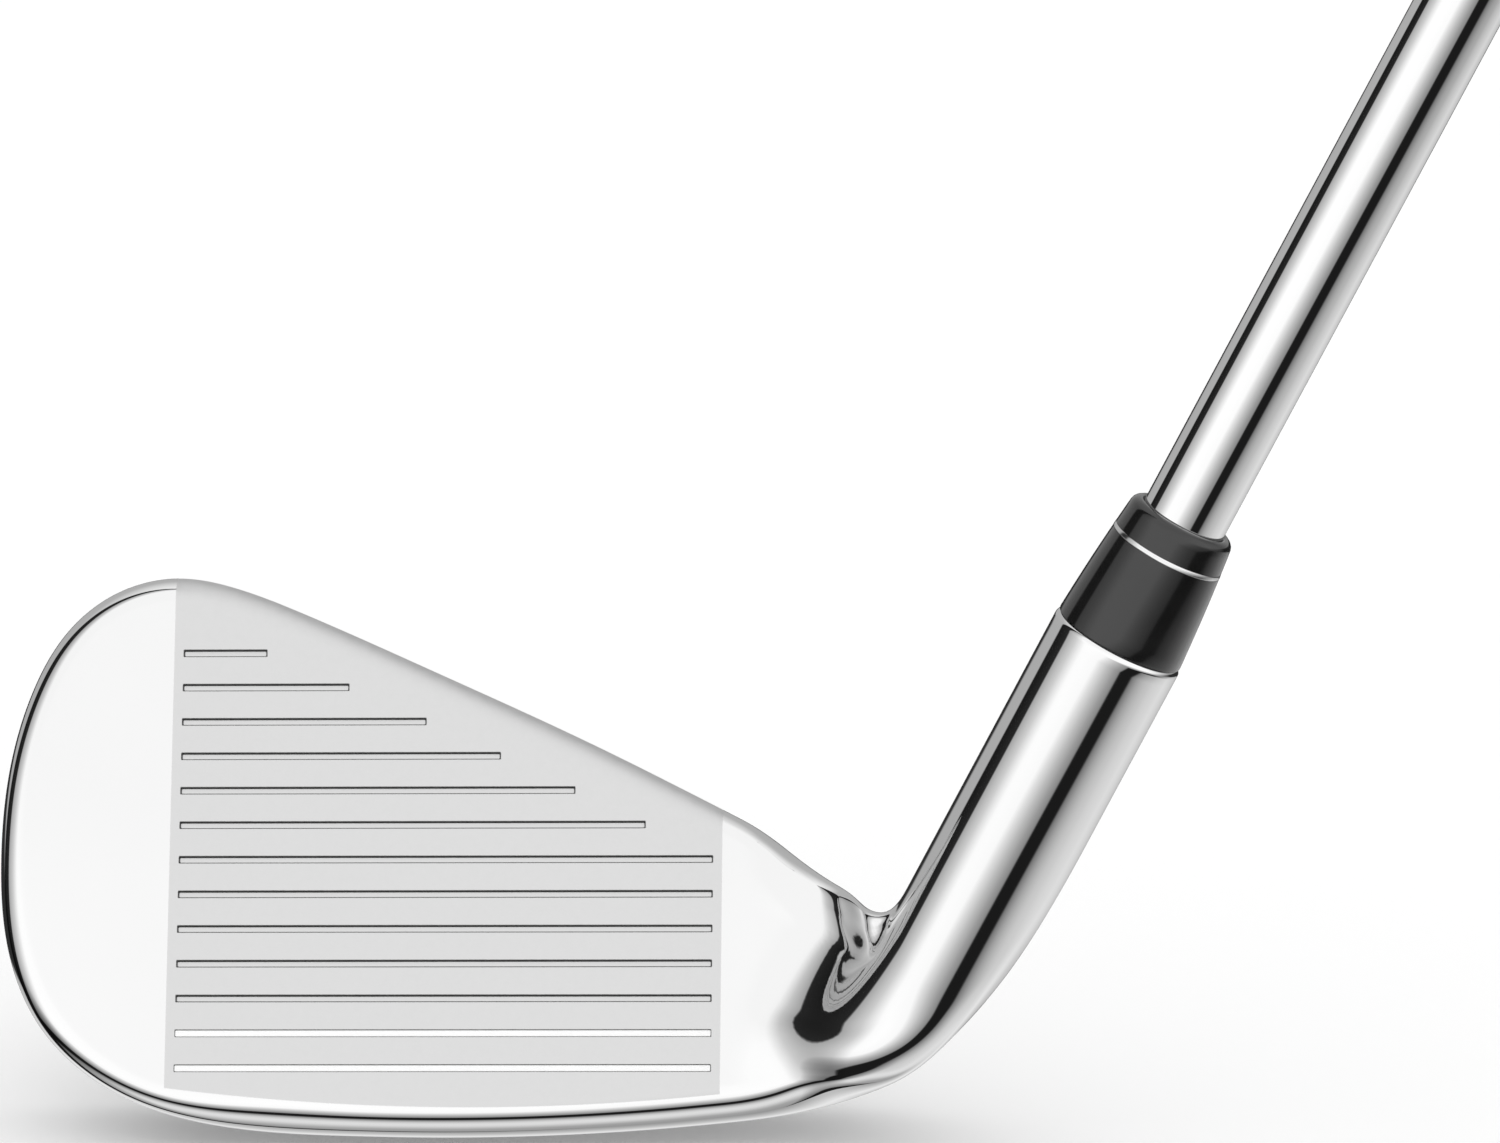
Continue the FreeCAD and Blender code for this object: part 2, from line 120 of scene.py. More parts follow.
class Spline:
    """A smooth curve through points, with its parameter given at each."""

    def __init__(self, t, p):
        self.t, self.p = np.asarray(t, float), np.asarray(p, float).reshape(len(t), -1)
        n = len(self.t)
        h = np.diff(self.t)
        a = np.eye(n)
        b = np.zeros_like(self.p)
        for i in range(1, n - 1):
            a[i, i - 1], a[i, i], a[i, i + 1] = h[i - 1], 2 * (h[i - 1] + h[i]), h[i]
            b[i] = 6 * ((self.p[i + 1] - self.p[i]) / h[i] - (self.p[i] - self.p[i - 1]) / h[i - 1])
        self.m = np.linalg.solve(a, b)

    def __call__(self, s):
        s = np.asarray(s, float)
        i = np.clip(np.searchsorted(self.t, s, side="right") - 1, 0, len(self.t) - 2)
        h = (self.t[i + 1] - self.t[i])[:, None]
        u, q = (self.t[i + 1] - s)[:, None], (s - self.t[i])[:, None]
        m0, m1, p0, p1 = self.m[i], self.m[i + 1], self.p[i], self.p[i + 1]
        return (m0 * u ** 3 + m1 * q ** 3) / (6 * h) + (p0 / h - m0 * h / 6) * u + (p1 / h - m1 * h / 6) * q


def smooth(a, b, x):
    """0 below a and 1 above b, with an easy step between them."""
    t = np.clip((x - a) / (b - a), 0, 1)
    return t * t * (3 - 2 * t)


def inward(path):
    """Unit vectors across a path in the plane, to its left."""
    d = np.gradient(path, axis=0)
    d /= np.linalg.norm(d, axis=1)[:, None]
    return np.stack([-d[:, 1], d[:, 0]], axis=1)


def corner_curve(start, corner, end, steps):
    """Corners rounded as nearly as a cubic curve can to an arc."""
    a, b = start - corner, end - corner
    cosine = np.sum(a * b, axis=1) / (np.linalg.norm(a, axis=1) * np.linalg.norm(b, axis=1))
    turn = math.pi - np.arccos(np.clip(cosine, -1, 1))
    reach = (1 - 4 / 3 * np.tan(turn / 4) / np.tan(turn / 2))[:, None]
    poles = [start, corner + a * reach, corner + b * reach, end]
    out = []
    for t in np.linspace(0, 1, steps + 1):
        out.append(sum(math.comb(3, k) * t ** k * (1 - t) ** (3 - k) * poles[k] for k in range(4)))
    return out


def toward_vertical(directions, x, up):
    """Directions across the outline, turned upright where the blade ends."""
    share = smooth(-22.0, HEEL_X, x)[:, None] * (np.sign(directions[:, 1:]) == up)
    turned = directions * (1 - share) + np.array([0.0, up]) * share
    return turned / np.linalg.norm(turned, axis=1)[:, None]


class Build:
    """Vertices and faces of one mesh, in millimetres."""

    def __init__(self):
        self.v, self.f = [], []

    def add(self, points):
        points = np.asarray(points, float).reshape(-1, 3)
        start = len(self.v)
        self.v.extend(points.tolist())
        return np.arange(start, start + len(points))

    def strip(self, a, b, closed=False):
        n = len(a)
        for i in range(n if closed else n - 1):
            j = (i + 1) % n
            self.f.append((int(a[i]), int(a[j]), int(b[j]), int(b[i])))

    def rings(self, rows):
        for a, b in zip(rows, rows[1:]):
            self.strip(a, b, closed=True)

    def fill(self, loops, plane, inner=None, inner_points=None):
        """Triangles between an outer loop and the holes in it. plane has each vertex's place in the plane."""
        ids = [int(i) for loop in loops for i in loop]
        pts = [Vector(plane[i]) for i in ids]
        edges, start = [], 0
        for loop in loops:
            n = len(loop)
            edges += [(start + i, start + (i + 1) % n) for i in range(n)]
            start += n
        if inner is not None:
            ids += [int(i) for i in inner]
            pts += [Vector(q) for q in inner_points]
        made = geometry.delaunay_2d_cdt(pts, edges, [], 0, 1e-7)
        verts, tris, source = made[0], made[2], made[3]
        outlines = [np.array([plane[i] for i in loop]) for loop in loops]
        for tri in tris:
            centre = np.mean([verts[k] for k in tri], axis=0)
            if inside(centre, outlines[0]) and not any(inside(centre, o) for o in outlines[1:]):
                if all(source[k] for k in tri):
                    self.f.append(tuple(ids[source[k][0]] for k in tri))

    def done(self, name, materials, sharp=30.0):
        """The object, smooth but for edges that turn by more than sharp degrees."""
        mesh = bpy.data.meshes.new(name)
        mesh.from_pydata([(x / 1000, y / 1000, z / 1000) for x, y, z in self.v], [], self.f)
        bm = bmesh.new()
        bm.from_mesh(mesh)
        bmesh.ops.remove_doubles(bm, verts=bm.verts, dist=1e-7)
        loose = [v for v in bm.verts if not v.link_faces]
        bmesh.ops.delete(bm, geom=loose, context="VERTS")
        bmesh.ops.recalc_face_normals(bm, faces=bm.faces)
        limit = math.radians(sharp)
        for f in bm.faces:
            f.smooth = True
        for e in bm.edges:
            e.smooth = not (len(e.link_faces) == 2 and e.calc_face_angle(0) > limit)
        bm.to_mesh(mesh)
        bm.free()
        obj = bpy.data.objects.new(name, mesh)
        bpy.context.scene.collection.objects.link(obj)
        for m in materials:
            mesh.materials.append(m)
        return obj


def inside(p, outline):
    """Whether a point of the plane lies within a closed outline."""
    x, y = p[0], p[1]
    a, b = outline, np.roll(outline, -1, axis=0)
    cross = (a[:, 1] > y) != (b[:, 1] > y)
    with np.errstate(divide="ignore", invalid="ignore"):
        at = a[:, 0] + (y - a[:, 1]) * (b[:, 0] - a[:, 0]) / (b[:, 1] - a[:, 1])
    return np.count_nonzero(cross & (x < at)) % 2 == 1


def rounded_polygon(corners, radius, grow=0.0, arc=8, along=2.5):
    """Points round a convex polygon with rounded corners, moved outward by grow."""
    c = np.asarray(corners, float)
    n = len(c)
    area = 0.5 * sum(c[i - 1][0] * c[i][1] - c[i][0] * c[i - 1][1] for i in range(n))
    turn = 1.0 if area > 0 else -1.0
    out = []
    centres = []
    for i in range(n):
        a, b = c[i] - c[i - 1], c[(i + 1) % n] - c[i]
        a, b = a / np.linalg.norm(a), b / np.linalg.norm(b)
        na, nb = turn * np.array([a[1], -a[0]]), turn * np.array([b[1], -b[0]])
        half = math.acos(np.clip(na @ nb, -1, 1)) / 2
        centres.append((c[i] - (na + nb) / np.linalg.norm(na + nb) * radius / math.cos(half), na, nb))
    for i in range(n):
        centre, na, nb = centres[i]
        a0, a1 = math.atan2(na[1], na[0]), math.atan2(nb[1], nb[0])
        a1 = a0 + (a1 - a0 + math.pi) % (2 * math.pi) - math.pi
        for k in range(arc + 1):
            a = a0 + (a1 - a0) * k / arc
            out.append(centre + (radius + grow) * np.array([math.cos(a), math.sin(a)]))
        following, nf, _ = centres[(i + 1) % n]
        p, q = centre + (radius + grow) * nb, following + (radius + grow) * nf
        length = np.linalg.norm(centres[(i + 1) % n][0] - centre)
        steps = max(int(length / along), 1)
        for k in range(1, steps):
            out.append(p + (q - p) * k / steps)
    return np.array(out)


# ---------------------------------------------------------------- head
TOP_BULGE, TOE_BULGE = 0.12, 0.05  # how far the middle of the edge stands out past its corners


def blade_keys():
    """The edge's front corner, middle and back corner at each place that the outline is drawn through."""
    front, middle, back = [], [], []
    for x, v in TOP_LINE_PATH + TOE_PATH:
        front.append((x, v, 0.0))
        w = float(back_w(x, v))
        ox, ov = (0.0, TOP_BULGE) if (x, v) in TOP_LINE_PATH else (-TOE_BULGE, 0.0)
        middle.append((x + ox, v + ov, w / 2))
        back.append((x, v))
    for f, m, b in TOE_LOW_PATH:
        front.append((*f, 0.0))
        middle.append((*m, float(back_w(*b)) / 2))
        back.append(b)
    for x in SOLE_XS:
        z = LEADING_Z + camber(x)
        front.append((x, z / COS, 0.0))
        low = to_face([x, SOLE_LOW_Y, camber(x) - SOLE_SINK])
        middle.append(tuple(low))
        v, _ = trailing(np.array(x))
        back.append((x, float(v)))
    return np.array(front), np.array(middle), np.array(back)


def blade_strip():
    """Rows of points round the blade's edge, face side first, in face coordinates."""
    front, middle, back = blade_keys()
    t = np.concatenate([[0], np.cumsum(np.linalg.norm(np.diff(front, axis=0), axis=1))])
    n_top, n_toe, n_low = len(TOP_LINE_PATH), len(TOE_PATH), len(TOE_LOW_PATH)
    front_t = [TOP_ROUNDING] * (n_top + n_toe + 1) + LOW_TOE_ROUNDING + [SOLE_ROUNDING] * len(SOLE_XS)
    back_t = [BACK_TOP_ROUNDING] * n_top + [BACK_TOE_ROUNDING] * n_toe
    back_t += [BACK_LOW_ROUNDING] * n_low + [BACK_SOLE_ROUNDING] * len(SOLE_XS)
    s = np.linspace(0, t[-1], STATIONS)
    f, m = Spline(t, front)(s), Spline(t, middle)(s)
    b2 = Spline(t, back)(s)
    tf, tb = Spline(t, front_t)(s), Spline(t, back_t)(s)
    face_in, back_in = inward(f[:, :2]), inward(b2)
    for up in (-1.0, 1.0):
        face_in, back_in = toward_vertical(face_in, f[:, 0], up), toward_vertical(back_in, b2[:, 0], up)
    b = on_back(b2)

    def toward(p, q, length):
        d = q - p
        return p + d / np.linalg.norm(d, axis=1)[:, None] * length

    face_start = f + lift(face_in) * tf
    wall_start, wall_end = toward(f, m, tf), toward(b, m, tb)
    back_end = on_back(b2 + back_in * tb)
    columns = [f + lift(face_in) * (tf + FACE_ROW_IN)]
    columns += corner_curve(face_start, f, wall_start, 16)
    for k in range(1, 10):
        u = k / 10
        columns.append((1 - u) ** 2 * wall_start + 2 * u * (1 - u) * m + u * u * wall_end)
    columns += corner_curve(wall_end, b, back_end, 10)
    columns.append(on_back(b2 + back_in * (tb + BACK_ROW_IN)))
    seam = f[:, :2] + face_in * (tf + SEAM_IN)
    return np.array(columns), seam


# The hosel's angle (0 at its heel side, 90 degrees at its back) that each part of the blade's end runs on to
HEEL_ANGLES = {
    "face low": -80.0, "leading": -64.0, "lowest": 0.0, "trailing": 52.0, "back top": 146.0,
    "top back": 152.0, "top front": 178.0, "face top": 186.0,
}
HEEL_FULLNESS = 0.82  # how close the heel's curves keep to the corner between the blade and the hosel
FILLET = 11.0  # width of the blend that makes the hollow between the face and the hosel
# The heights on the face that the rows below and above the hollow follow, and how far round the ring they do
FILLET_UP, FILLET_FADE = (12.0, 32.0), (15.0, 22.0)
FILLET_MIDDLE = 22.0  # rows below this follow the low one


def step5(t):
    """A step from 0 to 1 with no jump in slope or in bend."""
    t = np.clip(t, 0, 1)
    return t ** 3 * (t * (t * 6 - 15) + 10)


def fillet_surface(p):
    """Points moved onto the hollow blend between the face plane and the hosel."""
    normal = np.array([0.0, -COS, SIN])
    for _ in range(12):
        a = (p - np.array([0.0, -FACE_LEAD, 0.0])) @ normal
        off = p - (p @ AXIS)[..., None] * AXIS
        distance = np.linalg.norm(off, axis=-1)
        b = distance - HOSEL_R
        h = np.clip(0.5 + 0.5 * (b - a) / FILLET, 0, 1)
        value = b * (1 - h) + a * h - FILLET * h * (1 - h)
        slope = off / distance[..., None] * (1 - h)[..., None] + normal * h[..., None]
        p = p - slope * (value / np.sum(slope * slope, axis=-1))[..., None]
    return p


def heel_rows(ring, tangents, marks, steps=80):
    """Curves from the blade's end to the hosel, one from each point of the ring."""
    n = len(ring)
    gaps = np.linalg.norm(np.roll(ring, -1, axis=0) - ring, axis=1)
    arc = np.concatenate([[0], np.cumsum(gaps)])
    names = [name for name in HEEL_ANGLES if name != "face low"]
    first_angle = HEEL_ANGLES["face low"]
    places = [0.0] + [arc[marks[name]] for name in names] + [arc[-1]]
    angles = [first_angle] + [HEEL_ANGLES[name] for name in names] + [first_angle + 360]
    degrees = np.interp(arc[:-1], places, angles)
    for _ in range(10):
        before, after = np.roll(degrees, 1), np.roll(degrees, -1)
        before[0] -= 360
        after[-1] += 360
        degrees = degrees * 0.5 + (before + after) * 0.25
    angle = np.radians(degrees)
    turned = HEEL_SIDE * np.cos(angle)[:, None] + BACK_SIDE * np.sin(angle)[:, None]
    end = AXIS * HOSEL_START + turned * HOSEL_R
    aside = np.abs((degrees + 180) % 360 - 180)
    reach_share = 1.0 - 0.78 * smooth(90, 170, aside)
    drop_share = 1.0 - 0.76 * smooth(5, 98, aside)
    rows = np.zeros((steps + 1, n, 3))
    for i in range(n):
        p, d, e = ring[i], tangents[i], end[i]
        flat = np.array([d[0], 0.0, d[2]])
        length = np.linalg.norm(flat)
        across = flat[0] * AXIS[2] - flat[2] * AXIS[0]
        reach = ((e[0] - p[0]) * AXIS[2] - (e[2] - p[2]) * AXIS[0]) / across
        drop = ((e[0] - p[0]) * flat[2] - (e[2] - p[2]) * flat[0]) / -across
        start, stop = np.array([p[0], 0.0, p[2]]), np.array([e[0], 0.0, e[2]])
        corner = start + flat * reach
        a, b = corner - flat * reach * reach_share[i], corner + AXIS * drop * drop_share[i]
        poles = [a, a + (corner - a) * HEEL_FULLNESS, b + (corner - b) * HEEL_FULLNESS, b]
        u = np.linspace(0, 1, 160)[:, None]
        curve = (1 - u) ** 3 * poles[0] + 3 * u * (1 - u) ** 2 * poles[1]
        curve = curve + 3 * u * u * (1 - u) * poles[2] + u ** 3 * poles[3]
        line = np.vstack([start[None], curve, stop[None]])
        dist = np.concatenate([[0], np.cumsum(np.linalg.norm(np.diff(line, axis=0), axis=1))])
        want = np.linspace(0, dist[-1], steps + 1)
        for k in (0, 2):
            rows[:, i, k] = np.interp(want, dist, line[:, k])
        # the depth goes over from the blade's to the hosel's by itself
        low_end = reach * length + drop * 0.9
        at_back = smooth(-0.2, 0.7, math.sin(angle[i]))
        high_end = reach * length * 0.95 + drop * 0.5 * at_back
        over = low_end + (high_end - low_end) * smooth(20, 80, aside[i])
        mix = step5((want / over) ** 1.25)
        along = np.minimum(want, reach * length)
        rows[:, i, 1] = (p[1] + d[1] / length * along) * (1 - mix) + e[1] * mix
    # the face's curves are moved onto the blend, and their neighbours follow them less and less
    up = to_face(ring)[:, 1]
    first = marks["face top"]
    high = first + int(np.argmin(np.abs(up[first:] - FILLET_UP[1])))
    low = first + int(np.argmin(np.abs(up[first:] - FILLET_UP[0])))
    settled = smooth(HEEL_X, HEEL_X + 5.0, rows[..., 0])[..., None]
    settled = settled * (1 - smooth(0.84, 1.0, np.linspace(0, 1, steps + 1)))[:, None, None]
    shift = (fillet_surface(rows) - rows) * settled
    back_from_low = (arc[:-1] - arc[low]) % arc[-1]
    up_from_high = (arc[high] - arc[:-1]) % arc[-1]
    low_share = 1 - smooth(0.0, FILLET_FADE[0], np.where(back_from_low > arc[-1] / 2, 0.0, back_from_low))
    high_share = 1 - smooth(0.0, FILLET_FADE[1], np.where(up_from_high > arc[-1] / 2, 0.0, up_from_high))
    own = np.zeros(n)
    own[first:] = smooth(8.0, 18.0, up[first:]) * (1 - smooth(29.0, 34.5, up[first:]))
    on_low = np.zeros(n, bool)
    on_low[first:] = up[first:] < FILLET_MIDDLE
    on_low[:marks["back top"] // 2] = True
    is_low = on_low[None, :, None]
    from_low = shift[:, low:low + 1] * low_share[None, :, None]
    from_high = shift[:, high:high + 1] * high_share[None, :, None]
    follow = np.where(is_low, from_low, from_high) * np.where(is_low, np.array([0.0, 1.0, 0.0]), 1.0)
    rows = rows + (shift * own[None, :, None] + follow * (1 - own)[None, :, None])
    rows[-1] = end
    return rows, turned


# The hosel above the heel, its broken top edge and its bore, as (distance along the shaft, radius)
HOSEL_PROFILE = [
    (42.0, HOSEL_R), (46.0, HOSEL_R), (51.0, HOSEL_R), (56.0, HOSEL_R), (60.5, HOSEL_R), (61.3, HOSEL_R),
    (61.45, HOSEL_R - 0.012), (61.6, HOSEL_R - 0.06), (61.76, HOSEL_R - 0.15), (61.88, HOSEL_R - 0.26),
    (61.96, HOSEL_R - 0.38), (HOSEL_TOP, HOSEL_R - 0.52), (HOSEL_TOP, 5.6), (HOSEL_TOP, BORE_R),
    (61.0, BORE_R), (BORE_BOTTOM, BORE_R),
]


def build_head(materials):
    """The casting's mesh, and the seam that the face plate shares with it."""
    cols, seam = blade_strip()
    top_ends, low_ends = cols[:, 0], cols[:, -1]
    top_dirs = cols[:, 0] - cols[:, 1]
    low_dirs = cols[:, -1] - cols[:, -2]
    body = Build()
    ids = np.array([body.add(on_face(c)) for c in cols])
    for a, b in zip(ids, ids[1:]):
        body.strip(a, b)

    # ring at the blade's heel end: sole, back, top line, face
    steps_back, steps_face = 30, 34

    def between(a, b, steps):
        return np.array([a + (b - a) * k / steps for k in range(1, steps)])

    back_line = between(low_ends[-1, :2], top_ends[-1, :2], steps_back)
    face_line = between(top_ends[0, :2], low_ends[0, :2], steps_face)
    back_ids, face_ids = body.add(on_face(on_back(back_line))), body.add(on_face(lift(face_line)))
    ring_ids = np.concatenate([ids[:, -1], back_ids, ids[::-1, 0], face_ids])

    def unit(d):
        return d / np.linalg.norm(d, axis=-1)[..., None]

    def mixed(first, last, steps):
        share = np.linspace(0, 1, steps + 1)[1:-1, None]
        return unit(unit(first)[None] * (1 - share) + unit(last)[None] * share)

    back_dirs = mixed(low_dirs[-1, :2], top_dirs[-1, :2], steps_back)
    back_dirs = (on_back(back_line + back_dirs * 0.01) - on_back(back_line))
    face_dirs = lift(mixed(top_dirs[0, :2], low_dirs[0, :2], steps_face))
    dirs = np.vstack([low_dirs, back_dirs, top_dirs[::-1], face_dirs])
    ring = np.array([body.v[i] for i in ring_ids])
    tangents = unit(on_face(to_face(ring) + unit(dirs)) - ring)
    wide = len(cols)
    marks = {
        "leading": 9,
        "lowest": int(np.argmin(ring[:wide, 2])),
        "trailing": wide - 7,
        "back top": wide + steps_back - 2,
        "top back": wide + steps_back + 5,
        "top front": wide + steps_back - 1 + wide - 10,
        "face top": wide + steps_back - 1 + wide,
    }
    rows, turned = heel_rows(ring, tangents, marks)
    levels = [ring_ids] + [body.add(r) for r in rows[1:]]
    for along, radius in HOSEL_PROFILE:
        levels.append(body.add(AXIS * along + turned * radius))
    body.rings(levels)
    bottom = body.add([AXIS * BORE_BOTTOM])[0]
    last = levels[-1]
    for i in range(len(last)):
        body.f.append((int(last[i]), int(last[(i + 1) % len(last)]), int(bottom)))

    # face round the plate, and the plate's pocket
    keep = seam[:, 0] < PLATE_HEEL_X - 0.5
    seam_loop = seam[keep]
    first, last_p = seam_loop[0], seam_loop[-1]
    slope_top = (seam_loop[1] - seam_loop[0])
    top_corner = first + slope_top * (PLATE_HEEL_X - first[0]) / slope_top[0]
    slope_low = (seam_loop[-1] - seam_loop[-2])
    low_corner = last_p + slope_low * (PLATE_HEEL_X - last_p[0]) / slope_low[0]
    closing = [low_corner + (top_corner - low_corner) * k / 12 for k in range(0, 12)]
    seam_loop = np.vstack([[top_corner], seam_loop, closing])
    plane = {int(i): tuple(p) for i, p in zip(ids[0], cols[0][:, :2])}
    plane.update({int(i): tuple(p) for i, p in zip(face_ids, face_line)})
    seam_front, seam_back = body.add(on_face(lift(seam_loop))), body.add(on_face(lift(seam_loop, PLATE_BACK)))
    for group in (seam_front, seam_back):
        plane.update({int(i): tuple(p) for i, p in zip(group, seam_loop)})
    outer = np.concatenate([ids[0], face_ids[::-1]])
    body.fill([outer, seam_front], plane)
    body.strip(seam_front, seam_back, closed=True)

    # back surface with the cavity, and the wall of the cavity down to the plate
    loops = [on_back(rounded_polygon(CAVITY, CAVITY_CORNER_R, CAVITY_RIM + 0.4))]
    for a in np.linspace(0, 90, 8):
        grow = CAVITY_RIM * (1 - math.sin(math.radians(a)))
        outline = rounded_polygon(CAVITY, CAVITY_CORNER_R, grow)
        depth = CAVITY_RIM * (1 - math.cos(math.radians(a)))
        p = on_back(outline)
        p[:, 2] += depth
        loops.append(p)
    outline = rounded_polygon(CAVITY, CAVITY_CORNER_R)
    loops.append(lift(outline, PLATE_BACK - 1.0))
    loops.append(lift(outline, PLATE_BACK))
    loop_ids = [body.add(on_face(p)) for p in loops]
    body.rings(loop_ids)
    plane.update({int(i): tuple(p[:2]) for i, p in zip(loop_ids[0], loops[0])})
    plane.update({int(i): tuple(p[:2]) for i, p in zip(loop_ids[-1], loops[-1])})
    plane.update({int(i): tuple(p[:2]) for i, p in zip(ids[-1], cols[-1])})
    plane.update({int(i): tuple(p) for i, p in zip(back_ids, back_line)})
    outer_back = np.concatenate([ids[-1], back_ids])
    outer_xy = np.array([plane[int(i)] for i in outer_back])
    hole_xy = loops[0][:, :2]
    grid = []
    for gx in np.arange(-88, -10, 2.0):
        for gv in np.arange(12, 64, 2.0):
            q = np.array([gx, gv])
            near = min(np.linalg.norm(outer_xy - q, axis=1).min(), np.linalg.norm(hole_xy - q, axis=1).min())
            if near > 0.9 and inside(q, outer_xy) and not inside(q, hole_xy):
                grid.append(q)
    grid = np.array(grid)
    grid_ids = body.add(on_face(on_back(grid)))
    body.fill([outer_back, loop_ids[0]], plane, grid_ids, grid)
    body.fill([seam_back, loop_ids[-1]], plane)
    return body.done("head_body_visual", materials, 34.0), seam_loop


# Score lines, counted from the lowest
LINE_TOE_X, LINE_HEEL_X = -70.21, -13.95
FIRST_LINE, LINE_PITCH = 9.91, 3.729
LINE_COUNT, FULL_LINES, PAINTED_LINES = 13, 7, 2
LINE_HALF, LINE_FLOOR_HALF, LINE_FLOOR = 0.4, 0.24, 0.34  # half widths at the face and the floor, and depth
LINE_TOP_MARGIN = 6.2  # the upper lines stop this far below the top line


def line_ends(number):
    """A score line's toe end, heel end and height on the face."""
    up = FIRST_LINE + number * LINE_PITCH
    if number < FULL_LINES:
        return LINE_TOE_X, LINE_HEEL_X, up
    top = np.array(TOP_LINE_PATH)
    return LINE_TOE_X, float(np.interp(up + LINE_TOP_MARGIN, top[:, 1], top[:, 0])), up


def bar(number, grow, depth):
    """Points round a score line at a depth, with its corners rounded."""
    x0, x1, up = line_ends(number)
    h = LINE_HALF + grow
    x0, x1 = x0 - grow, x1 + grow
    r = 0.1
    out = []
    low, high = up - h + r, up + h - r
    for cx, cv, a0 in ((x0 + r, low, 180), (x1 - r, low, 270), (x1 - r, high, 0), (x0 + r, high, 90)):
        for a in (0, 30, 60, 90):
            turn = math.radians(a0 + a)
            out.append((cx + r * math.cos(turn), cv + r * math.sin(turn), depth))
    return np.array(out)


def build_plate(seam_loop, materials):
    plate = Build()
    front, back = plate.add(on_face(lift(seam_loop))), plate.add(on_face(lift(seam_loop, PLATE_BACK)))
    plane = {int(i): tuple(p) for i, p in zip(front, seam_loop)}
    plane.update({int(i): tuple(p) for i, p in zip(back, seam_loop)})
    holes = []
    for number in range(LINE_COUNT):
        edge = bar(number, 0.03, 0.0)
        shoulder = bar(number, -0.01, -0.03)
        floor = bar(number, LINE_FLOOR_HALF - LINE_HALF, -LINE_FLOOR)
        ids = [plate.add(on_face(p)) for p in (edge, shoulder, floor)]
        plate.rings(ids)
        for group, p in zip(ids, (edge, shoulder, floor)):
            plane.update({int(i): tuple(q[:2]) for i, q in zip(group, p)})
        plate.fill([ids[2]], plane)
        holes.append(ids[0])
    plate.fill([front] + holes, plane)
    plate.strip(front, back, closed=True)
    plate.fill([back], plane)
    return plate.done("face_plate_visual", materials, 20.0)


def build_paint(materials):
    paint = Build()
    for number in range(PAINTED_LINES):
        top, mid = bar(number, -0.075, -0.1), bar(number, -0.2, -0.08)
        low = bar(number, LINE_FLOOR_HALF - LINE_HALF + 0.01, -LINE_FLOOR)
        a, b, c = (paint.add(on_face(p)) for p in (mid, top, low))
        plane = {int(i): tuple(q[:2]) for i, q in zip(a, mid)}
        plane.update({int(i): tuple(q[:2]) for i, q in zip(c, low)})
        paint.rings([a, b, c])
        paint.fill([a], plane)
        paint.fill([c], plane)
    return paint.done("score_line_paint_visual", materials, 30.0)


# ---------------------------------------------------------------- turned pieces
def turned_mesh(name, profile, materials, segments=128, sharp=30.0):
    """A solid swept round the shaft axis by a closed outline of (distance along it, radius)."""
    made = Build()
    a = np.linspace(0, 2 * math.pi, segments, endpoint=False)
    ring = HEEL_SIDE * np.cos(a)[:, None] + BACK_SIDE * np.sin(a)[:, None]
    rows = []
    for along, radius in profile:
        rows.append(made.add(AXIS * along + ring * radius) if radius > 1e-6 else made.add([AXIS * along]))
    for p, q in zip(rows, rows[1:] + rows[:1]):
        if len(p) == 1 and len(q) == 1:
            continue
        if len(p) == 1 or len(q) == 1:
            one, many = (p[0], q) if len(p) == 1 else (q[0], p)
            for i in range(segments):
                made.f.append((int(one), int(many[i]), int(many[(i + 1) % segments])))
        else:
            made.strip(p, q, closed=True)
    return made.done(name, materials, sharp)


CLUB_LENGTH, CAP, GRIP_LENGTH = 939.8, 3.2, 267.0
MOUTH, BUTT = CLUB_LENGTH - GRIP_LENGTH, CLUB_LENGTH - CAP
TIP_R, BUTT_R, STEPS, FIRST_STEP, STEP_PITCH = 4.51, 7.62, 11, 190.0, 44.45
SHAFT_TIP = 33.0
TIP_BORE_R, FIRST_STEP_BORE_R, BUTT_BORE_R = 3.66, 3.86, 7.22
BAND, BAND_THICKNESS = (596.0, 630.0), 0.1
TAPE = 0.15
FERRULE_LENGTH, FERRULE_FOOT_R, FERRULE_TAPER, FERRULE_BARREL = 14.4, 6.98, 1.28, 0.10
GROOVE = (72.45, 72.95)  # the ferrule's groove, and the ring in it
RING = (72.47, 72.93)
RING_DEPTH = 0.3


def section_radius(i):
    return TIP_R + (BUTT_R - TIP_R) * i / STEPS


def shaft_profile():
    out = [(SHAFT_TIP, TIP_R - 0.2), (SHAFT_TIP + 0.2, TIP_R)]
    out += [(along, TIP_R) for along in (60.0, 70.0, 78.0, 100.0, 140.0)]
    for i in range(STEPS):
        at = FIRST_STEP + i * STEP_PITCH
        r0, r1 = section_radius(i), section_radius(i + 1)
        out += [(at - 6.0, r0), (at - 1.3, r0), (at - 0.9, r0 + (r1 - r0) * 0.1)]
        out += [(at - 0.35, r0 + (r1 - r0) * 0.9), (at, r1), (at + 5.0, r1)]
        out.append((at + STEP_PITCH / 2, r1))
    out += [(MOUTH, BUTT_R), (BUTT - 0.2, BUTT_R), (BUTT, BUTT_R - 0.1), (BUTT, BUTT_BORE_R)]
    last_step = FIRST_STEP + (STEPS - 1) * STEP_PITCH
    out += [(last_step, BUTT_BORE_R), (FIRST_STEP, FIRST_STEP_BORE_R), (SHAFT_TIP, TIP_BORE_R)]
    return out


def ferrule_outline(along):
    """Radius of the ferrule's gently barrelled taper."""
    share = (along - HOSEL_TOP) / FERRULE_LENGTH
    return FERRULE_FOOT_R - FERRULE_TAPER * share + FERRULE_BARREL * math.sin(math.pi * share)


